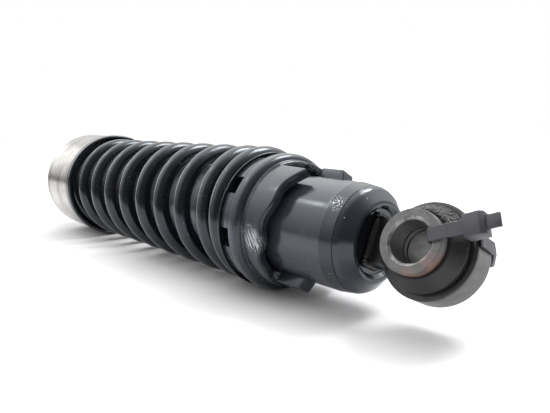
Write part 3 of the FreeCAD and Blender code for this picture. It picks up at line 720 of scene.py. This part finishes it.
def collar_outline(edge):
    """The collar's section where the cam edge lies at a station: 4 runs joined into a loop."""
    bead, back, end = 77.5 * MM, 84.0 * MM, 90.4 * MM
    skirt, inside, bore = 30.2 * MM, 25.9 * MM, 24.1 * MM
    neck, neck_inside, top = 32.3 * MM, 29.0 * MM, BEAD_RADIUS
    slot = back + 0.8 * MM
    front = [(edge + 0.7 * MM, inside), (edge + 0.2 * MM, inside + 0.15 * MM), (edge, inside + 0.6 * MM),
             (edge, skirt - 1.3 * MM), (edge + 0.10 * MM, skirt - 0.80 * MM),
             (edge + 0.40 * MM, skirt - 0.35 * MM), (edge + 0.80 * MM, skirt - 0.08 * MM),
             (edge + 1.3 * MM, skirt)]
    run = bead - 0.5 * MM - (edge + 1.3 * MM)
    front += [(edge + 1.3 * MM + run * step / 12, skirt) for step in range(1, 13)]
    front += [(bead - 0.1 * MM, skirt + 0.2 * MM)]
    hump = [(bead + 3.4 * MM * (1 - math.cos(turn)), top - 2.8 * MM * (1 - math.sin(turn)))
            for turn in [math.pi / 2 * step / 9 for step in range(10)]]
    hump += [(back - 0.9 * MM, top), (back - 0.35 * MM, top - 0.15 * MM), (back, top - 0.6 * MM)]
    hump += [(back + 0.15 * MM, neck)]
    ring = [(slot, neck), (end - 0.4 * MM, neck), (end - 0.1 * MM, neck - 0.1 * MM), (end, neck - 0.4 * MM),
            (end, neck_inside + 0.2 * MM), (end - 0.2 * MM, neck_inside), (slot, neck_inside)]
    inner = [(back, neck_inside), (back, bore + 0.3 * MM), (back - 0.3 * MM, bore), (bead + 0.3 * MM, bore),
             (bead, bore + 0.3 * MM), (bead, inside)]
    return front, hump, ring, inner


def collar_angles():
    """Angles every 0.75 degrees round the collar, closer at the cam's walls, and at each slot's sides."""
    marks = set(round(0.75 * step, 4) for step in range(480))
    sides = []
    for slot in range(SLOT_COUNT):
        middle = SLOT_ROLL + 360.0 / SLOT_COUNT * slot
        sides += [round((middle - SLOT_HALF) % 360, 4), round((middle + SLOT_HALF) % 360, 4)]
    for wall in (CAM_FIRST + CAM_PEAK, CAM_FIRST + CAM_PEAK + 180, CAM_FIRST + CAM_RELIEF,
                 CAM_FIRST + CAM_RELIEF + 180):
        marks.update(round((wall + 0.2 * step) % 360, 4) for step in range(-9, 10))
    marks = {mark for mark in marks if min(abs(mark - side) for side in sides) > 0.15}
    return sorted(marks | set(sides)), sides


def in_slot(angle):
    pitch = 360.0 / SLOT_COUNT
    off = (angle - SLOT_ROLL + pitch / 2) % pitch - pitch / 2
    return abs(off) < SLOT_HALF


def make_collar(material):
    """The preload collar: a stepped cam with thick rounded edges, a bead, and a slotted neck."""
    angles, sides = collar_angles()
    points = []
    for angle in angles:
        front, hump, ring, inner = collar_outline(soft_cam_edge(angle))
        for along, radius in front + hump + ring + inner:
            point = DAMPER.at(along, radius, math.radians(angle))
            radius += 0.05 * MM * noise.noise(point * 90.0)
            points.append(DAMPER.at(along, radius, math.radians(angle)))
    size = len(front + hump + ring + inner)
    low = len(front + hump)
    high = low + len(ring) - 1
    count = len(angles)
    faces = []
    for index in range(count):
        here, there = index * size, (index + 1) % count * size
        span = (angles[(index + 1) % count] - angles[index]) % 360
        open_here = in_slot(angles[index] + span / 2)
        for step in range(size):
            onward = (step + 1) % size
            if open_here and low <= step < high:
                continue
            faces.append((here + step, there + step, there + onward, here + onward))
        if open_here:
            faces.append((here + low, there + low, there + high, here + high))
        if angles[index] in sides:
            faces.append(tuple(here + step for step in range(low, high + 1)))
    mesh = tidy_mesh(make_mesh("collar_shell", points, faces), 40.0)
    paint_wear(mesh, collar_wear)
    show("collar_shell", mesh, material, "preload_collar", "collar_paint", "preload_collar")


def collar_wear(point):
    """Paint goes first from the cam's edge, the bead's shoulder and the relief by the upper lug."""
    angle = math.degrees(math.atan2(point.z, -point.y))
    radius = math.hypot(point.y, point.z)
    station = -point.x
    edge = max(0.0, 1.0 - abs(station - soft_cam_edge(angle)) / (0.9 * MM))
    bead = 0.3 if radius > 33.0 * MM and station < 80.0 * MM else 0.0
    relief = 0.5 if 70.0 < angle < 120.0 and 72.0 * MM < station < 76.5 * MM else 0.0
    return max(0.38 * edge, bead, relief)


# ---------------------------------------------------------------- the spring and its seats

SPRING_START = 91.5 * MM
SPRING_END = 311.4 * MM
WIRE_RADIUS = 4.25 * MM
SPRING_RADIUS = 34.5 * MM
SPRING_TURNS = 11.6
DEAD_TURNS = 0.75
EASING_TURNS = 0.75
CLOSED_PITCH = 8.8 * MM
FRONT_TURN = 0.235
RISE_LOWER = 1.8 * MM
RISE_UPPER = -0.4 * MM


def eased(share):
    """The integral of a smooth step from 0 to 1."""
    if share <= 0:
        return 0.0
    if share >= 1:
        return share - 0.5
    return share**3 - share**4 / 2


def coil_centre(turn):
    """The wire's centre after some turns from the lower end."""
    active = SPRING_TURNS - 2 * DEAD_TURNS - EASING_TURNS
    length = SPRING_END - SPRING_START
    extra = (length - WIRE_RADIUS - CLOSED_PITCH * SPRING_TURNS) / active
    last = SPRING_TURNS - DEAD_TURNS - EASING_TURNS
    opened = eased((turn - DEAD_TURNS) / EASING_TURNS) - eased((turn - last) / EASING_TURNS)
    height = WIRE_RADIUS / 2 + CLOSED_PITCH * turn + extra * EASING_TURNS * opened
    rise = RISE_LOWER + (RISE_UPPER - RISE_LOWER) * height / length
    angle = 2 * math.pi * (turn - FRONT_TURN)
    centre = DAMPER.at(SPRING_START + height, SPRING_RADIUS - WIRE_RADIUS, angle)
    return centre + Vector((0, 0, rise)), angle


def make_spring(material):
    """The coil spring: right-handed, with closed ends ground flat, and paint rubbed on the coils."""
    around, per_turn = 28, 84
    steps = round(SPRING_TURNS * per_turn)
    points = []
    for index in range(steps + 1):
        turn = SPRING_TURNS * index / steps
        centre, angle = coil_centre(turn)
        ahead = coil_centre(turn + 0.01)[0] - coil_centre(turn - 0.01)[0]
        outward = Vector((0, -math.cos(angle), math.sin(angle)))
        side = ahead.cross(outward).normalized()
        outward = side.cross(ahead).normalized()
        for step in range(around):
            bend = 2 * math.pi * step / around
            point = centre + (outward * math.cos(bend) + side * math.sin(bend)) * WIRE_RADIUS
            point += (point - centre) * 0.006 * noise.noise(point * 160.0)
            point.x = -min(max(-point.x, SPRING_START), SPRING_END)
            points.append(point)
    faces = [tuple(range(around)), tuple(range(steps * around, (steps + 1) * around))]
    for index in range(steps):
        here, there = index * around, (index + 1) * around
        for step in range(around):
            onward = (step + 1) % around
            faces.append((here + step, there + step, there + onward, here + onward))
    mesh = tidy_mesh(make_mesh("coil_spring", points, faces), 50.0)
    mesh.materials.append(material)
    piece = add_object("coil_spring", mesh)
    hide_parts("main_spring")
    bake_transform(piece)


def make_washer(material):
    """The seat washer between the collar and the spring, its edge dressed round."""
    start, end, _ = stations("seat_washer")
    corners = [(start, 24.3 * MM, 0.2 * MM), (start, 33.5 * MM, 0.4 * MM),
               (end, 33.5 * MM, 0.4 * MM), (end, 24.3 * MM, 0.2 * MM)]
    mesh = lathe_mesh("washer_plate", DAMPER, corners, 300, 4, 2 * MM, 0.04 * MM, 90.0)
    show("washer_plate", mesh, material, "lower_seat", "black_paint", "seat_washer")


def make_cover(steel, black):
    """The chrome cover over the spring's upper end, and the black rim pressed on its mouth."""
    mouth, back, _ = stations("spring_cover")
    radius, wall, bend = 36.3 * MM, 0.9 * MM, 10.0 * MM
    hole = 9.5 * MM
    corners = [(mouth, radius - wall, 0.2 * MM), (mouth, radius, 0.2 * MM), (back, radius, bend),
               (back, hole, 0.3 * MM), (back - wall, hole, 0.3 * MM),
               (back - wall, radius - wall, bend - wall)]
    mesh = lathe_mesh("cover_shell", DAMPER, corners, 360, 14, 2 * MM, 0.05 * MM, 60.0)
    show("cover_shell", mesh, steel, "spring_top", "bright_chrome", "spring_cover")
    start, end, _ = stations("cover_rim")
    inner, seat, stop = 35.3 * MM, radius + 0.02 * MM, mouth - 0.05 * MM
    rim = [(start, inner, 0.3 * MM), (start, RIM_RADIUS, 1.1 * MM), (end, RIM_RADIUS, 0.7 * MM),
           (end, seat, 0.0), (stop, seat, 0.0), (stop, inner, 0.1 * MM)]
    mesh = lathe_mesh("rim_ring", DAMPER, rim, 360, 6, 2 * MM, 0.04 * MM, 80.0)
    show("rim_ring", mesh, black, "spring_top", "black_paint", "cover_rim")


# ---------------------------------------------------------------- the cable tie

TIE_ANGLE = math.radians(23.0)
TIE_WIDTH = 4.8 * MM
TIE_THICK = 1.2 * MM


def tie_axis():
    """Its loop lies in the plane of the bolt's axis and a spoke of the eye."""
    out = LOWER_EYE.first * math.cos(TIE_ANGLE) + LOWER_EYE.second * math.sin(TIE_ANGLE)
    across = LOWER_EYE.second * math.cos(TIE_ANGLE) - LOWER_EYE.first * math.sin(TIE_ANGLE)
    return Axis(LOWER_EYE.origin, out, LOWER_EYE.along, across)


def make_tie_band(material):
    """The strap: out of the bore, across the sleeve's face, round the eye and back through."""
    plane = tie_axis()
    gap = TIE_THICK / 2 + 0.12 * MM
    face, side = SLEEVE_HALF + gap, EYE_RADIUS + gap
    loop = rounded([
        (BORE_RADIUS - gap, face, 1.0 * MM), (13.5 * MM, face + 0.5 * MM, 6.0 * MM),
        (side + 4.2 * MM, face - 0.6 * MM, 1.6 * MM), (side + 3.2 * MM, 12.0 * MM, 3.0 * MM),
        (side, 4.6 * MM, 2.4 * MM), (side, -6.6 * MM, 3.0 * MM),
        (SLEEVE_RADIUS + 1.6 * MM, -face, 1.6 * MM), (BORE_RADIUS - gap, -face, 1.6 * MM)], 8, 0.8 * MM)
    count = len(loop)
    edge = 0.25 * MM
    half, thick = TIE_WIDTH / 2, TIE_THICK / 2
    section = [(half, -thick + edge), (half, thick - edge), (half - edge, thick), (-half + edge, thick),
               (-half, thick - edge), (-half, -thick + edge), (-half + edge, -thick), (half - edge, -thick)]
    points = []
    for index in range(count):
        run = (loop[(index + 1) % count] - loop[index - 1]).normalized()
        for across, deep in section:
            points.append(plane.place(loop[index].x + run.y * deep, loop[index].y - run.x * deep, across))
    faces = []
    size = len(section)
    for index in range(count):
        here, there = index * size, (index + 1) % count * size
        for step in range(size):
            onward = (step + 1) % size
            faces.append((here + step, there + step, there + onward, here + onward))
    mesh = tidy_mesh(make_mesh("tie_band", points, faces), 30.0)
    show("tie_band", mesh, material, "damper_body", "band_plastic")


def make_tie_head(material):
    """The tie's ratchet head, tapered where the strap leaves it, and the cut-off tail."""
    plane = tie_axis()
    face = SLEEVE_HALF
    start, end = EYE_RADIUS + 1.0 * MM, EYE_RADIUS + 8.2 * MM
    top, foot = face + 2.6 * MM, face - 3.6 * MM
    outline = [(start, foot + 0.6 * MM), (start + 1.4 * MM, foot), (end, foot), (end, top - 1.4 * MM),
               (end - 1.4 * MM, top), (start, top - 0.5 * MM)]
    half = 4.0 * MM
    head = bevelled(block_mesh("tie_head", plane, outline, -half, half), 0.5 * MM, 3)
    show("tie_head", head, material, "damper_body", "band_plastic")
    tail_start, tail_end = end - 1.0 * MM, end + 4.6 * MM
    tail_outline = [(tail_start, face - 0.4 * MM), (tail_end, face - 0.3 * MM), (tail_end, face + 0.9 * MM),
                    (tail_start, face + 0.8 * MM)]
    tail = bevelled(block_mesh("tie_tail", plane, tail_outline, -TIE_WIDTH / 2, TIE_WIDTH / 2), 0.2 * MM, 2)
    show("tie_tail", tail, material, "damper_body", "band_plastic")


# ---------------------------------------------------------------- the object

def dress():
    """Builds every piece and gives every CAD node that still shows its material."""
    paint = gloss_paint("gloss_black", 0.007, (0.10, 0.24), 0.04, 0.15)
    band_rub = DAMPER.at(34.5 * MM, 23.3 * MM, math.radians(47.0))
    tube_paint = gloss_paint("tube_black", 0.030, (0.12, 0.22), 0.02, 0.3, (
        (band_rub, 4.5 * MM, (0.0, -1.09, 0.0), 0.8, 1.2),), 0.735)
    spring_paint = gloss_paint("spring_black", 0.007, (0.12, 0.24), 0.03, 0.12, (), 0.76)
    scuff = DAMPER.at(70.0 * MM, 30.2 * MM, math.radians(-6.0))
    knock = DAMPER.at(74.0 * MM, 30.2 * MM, math.radians(4.0))
    stroke = (0.0, -1.09, 0.0)
    collar_paint = gloss_paint("collar_black", 0.022, (0.12, 0.28), 0.05, 0.4, (
        (scuff, 6.5 * MM, stroke, 1.0, 1.3), (knock, 4.0 * MM, (0.0, -0.3, 0.0), 0.6, 1.6)), 0.74)
    eye_paint = gloss_paint("eye_black", 0.020, (0.26, 0.45), 0.05, 0.8, (), 0.74, 0.15)
    rust = ((LOWER_EYE.at(15.0 * MM, 12.0 * MM, math.radians(-32.0)), 6.5 * MM),
            (LOWER_EYE.at(15.0 * MM, 12.0 * MM, math.radians(-78.0)), 5.5 * MM))
    steel = weathered_steel("sleeve_steel", 0.125, rust)
    rubber = weathered_rubber("bush_rubber")
    make_sleeve("sleeve_near", LOWER_EYE, "lower_sleeve", steel, "lower_sleeve")
    make_sleeve("sleeve_far", UPPER_EYE, "upper_sleeve", steel, "upper_sleeve")
    make_bush("bush_near", LOWER_EYE, "damper_body", rubber, "lower_bush", True)
    make_bush("bush_far", UPPER_EYE, "rod_assembly", rubber, "upper_bush", False)
    make_lower_eye(eye_paint)
    make_upper_eye(eye_paint)
    make_tube(tube_paint)
    make_end_cap(tube_paint)
    make_lug("lug_bar_near", "cam_lug_1", math.radians(CAM_FIRST), 0.3, collar_paint)
    make_lug("lug_bar_far", "cam_lug_2", math.radians(CAM_FIRST + 180), 0.3, collar_paint)
    make_collar(collar_paint)
    make_spring(spring_paint)
    make_washer(paint)
    bright = chrome("bright_chrome")
    make_cover(bright, paint)
    tie = nylon("tie_nylon")
    make_tie_band(tie)
    make_tie_head(tie)
    zinc = plated_steel("zinc_steel", (0.55, 0.54, 0.50, 1), (0.36, 0.35, 0.33, 1))
    inner = plated_steel("inner_steel", (0.5, 0.5, 0.5, 1), (0.34, 0.34, 0.35, 1), (0.2, 0.34))
    alloy = plated_steel("cast_alloy", (0.6, 0.6, 0.61, 1), (0.42, 0.42, 0.43, 1), (0.35, 0.5))
    bronze = plated_steel("bronze", (0.6, 0.42, 0.22, 1), (0.42, 0.29, 0.15, 1), (0.3, 0.45))
    seal = soft_part("seal_rubber", grey(0.045), grey(0.025), 900.0, 0.04 * MM)
    band = soft_part("band_plastic", (0.2, 0.16, 0.12, 1), (0.14, 0.11, 0.08, 1), 1500.0, 0.02 * MM)
    finishes = {"black_paint": paint, "bright_chrome": bright, "zinc_steel": zinc, "inner_steel": inner,
                "cast_alloy": alloy, "bronze": bronze, "seal_rubber": seal, "band_plastic": band,
                "bare_steel": steel, "bush_rubber": rubber, "collar_paint": collar_paint,
                "spring_paint": spring_paint}
    for part in frame["record"]["subparts"]:
        mesh = frame["nodes"][part["node"]].data
        mesh.materials.clear()
        mesh.materials.append(finishes[part["material_slot"]])


# ---------------------------------------------------------------- the studio

def lit_material(name, color):
    """A matt floor with the faintest mottle."""
    tree = Tree(name)
    cloud = tree.noise(3.0, 3.0, 0.5)
    shade = tree.mix(cloud, tuple(0.97 * part for part in color[:3]) + (1.0,), color)
    return tree.finish(shade, 0.75, tree.bump(tree.noise(500.0), 0.02 * MM))


def make_floor():
    """A pale floor under the two places where the object rests: the rim and the collar's bead."""
    rim_start, rim_end, _ = stations("cover_rim")
    rim = Vector((-(rim_start + rim_end) / 2, 0, -RIM_RADIUS))
    bead = Vector((-81.0 * MM, 0, -BEAD_RADIUS))
    slope = (bead - rim).normalized()
    far, near = 3.0, 0.40
    corners = [rim + slope * along + Vector((0, across, 0)) for along, across in
               ((-far, -near), (1.5 * near, -near), (1.5 * near, far), (-far, far))]
    floor = add_object("floor", make_mesh("floor", corners, [(0, 1, 2, 3)]))
    floor.data.materials.append(lit_material("pale_floor", (0.86, 0.86, 0.87, 1.0)))


def make_light(name, place, target, size, power):
    lamp = bpy.data.lights.new(name, "AREA")
    lamp.shape = "RECTANGLE"
    lamp.size, lamp.size_y = size
    lamp.energy = power
    made = bpy.data.objects.new(name, lamp)
    bpy.context.scene.collection.objects.link(made)
    made.location = place
    made.rotation_mode = "QUATERNION"
    made.rotation_quaternion = (Vector(target) - Vector(place)).to_track_quat("-Z", "Y")
    return made


def make_world():
    """Soft white from above and one side, dim round the camera, with a darker horizon."""
    world = bpy.data.worlds.new("studio")
    bpy.context.scene.world = world
    world.use_nodes = True
    nodes, links = world.node_tree.nodes, world.node_tree.links
    way = nodes.new("ShaderNodeTexCoord").outputs["Generated"]

    def lobe(direction, start, end, low, high):
        """A soft cone of light round a direction."""
        toward = nodes.new("ShaderNodeVectorMath")
        toward.operation = "DOT_PRODUCT"
        toward.inputs[1].default_value = Vector(direction).normalized()
        links.new(way, toward.inputs[0])
        fade = nodes.new("ShaderNodeMapRange")
        fade.interpolation_type = "SMOOTHSTEP"
        links.new(toward.outputs["Value"], fade.inputs["Value"])
        for key, value in (("From Min", start), ("From Max", end), ("To Min", low), ("To Max", high)):
            fade.inputs[key].default_value = value
        return fade.outputs["Result"]

    def joined(operation, one, two):
        made = nodes.new("ShaderNodeMath")
        made.operation = operation
        for slot, value in enumerate((one, two)):
            if isinstance(value, bpy.types.NodeSocket):
                links.new(value, made.inputs[slot])
            else:
                made.inputs[slot].default_value = value
        return made.outputs[0]

    sky = lobe((0, 0, 1), 0.05, 0.9, 0.80, 3.0)
    window = lobe((-0.99, -0.06, 0.14), 0.965, 0.992, 0.0, 2.3)
    camera_side = lobe((0.80, -0.50, 0.33), 0.12, 0.80, 1.0, 0.13)
    below, above = lobe((0, 0, 1), -0.07, 0.0, 0.0, 1.0), lobe((0, 0, 1), 0.0, 0.07, 1.0, 0.0)
    horizon = joined("MULTIPLY", below, above)
    light = joined("MULTIPLY", sky, camera_side)
    light = joined("MULTIPLY", light, joined("SUBTRACT", 1.0, joined("MULTIPLY", horizon, 0.6)))
    light = joined("ADD", light, window)
    choose = nodes.new("ShaderNodeMix")
    choose.data_type = "FLOAT"
    links.new(nodes.new("ShaderNodeLightPath").outputs["Is Camera Ray"], choose.inputs[0])
    links.new(light, choose.inputs[2])
    choose.inputs[3].default_value = 1.0
    back = nodes["Background"]
    links.new(choose.outputs[0], back.inputs["Strength"])
    back.inputs["Color"].default_value = (1.0, 1.0, 1.0, 1.0)


def make_camera():
    forward = Vector((-math.sin(CAMERA_YAW) * math.cos(CAMERA_PITCH),
                      math.cos(CAMERA_YAW) * math.cos(CAMERA_PITCH), math.sin(CAMERA_PITCH)))
    right = Vector((math.cos(CAMERA_YAW), math.sin(CAMERA_YAW), 0.0))
    up = right.cross(forward)
    data = bpy.data.cameras.new("camera")
    data.lens = CAMERA_LENS
    data.clip_start = 0.01
    camera = bpy.data.objects.new("camera", data)
    bpy.context.scene.collection.objects.link(camera)
    turn = Matrix((right, up, -forward)).transposed().to_4x4()
    camera.matrix_world = Matrix.Translation(CAMERA_PLACE) @ turn
    bpy.context.scene.camera = camera


def light_studio():
    bpy.context.scene.view_settings.view_transform = "Standard"
    middle = (-0.17, 0.0, 0.0)
    make_light("key", (0.05, 0.55, 0.85), middle, (0.38, 0.38), 7.0)
    make_light("glint", (-0.59, -0.22, 0.57), (-0.045, -0.018, 0.016), (0.085, 0.085), 0.19)


dress()
make_floor()
make_world()
light_studio()
make_camera()
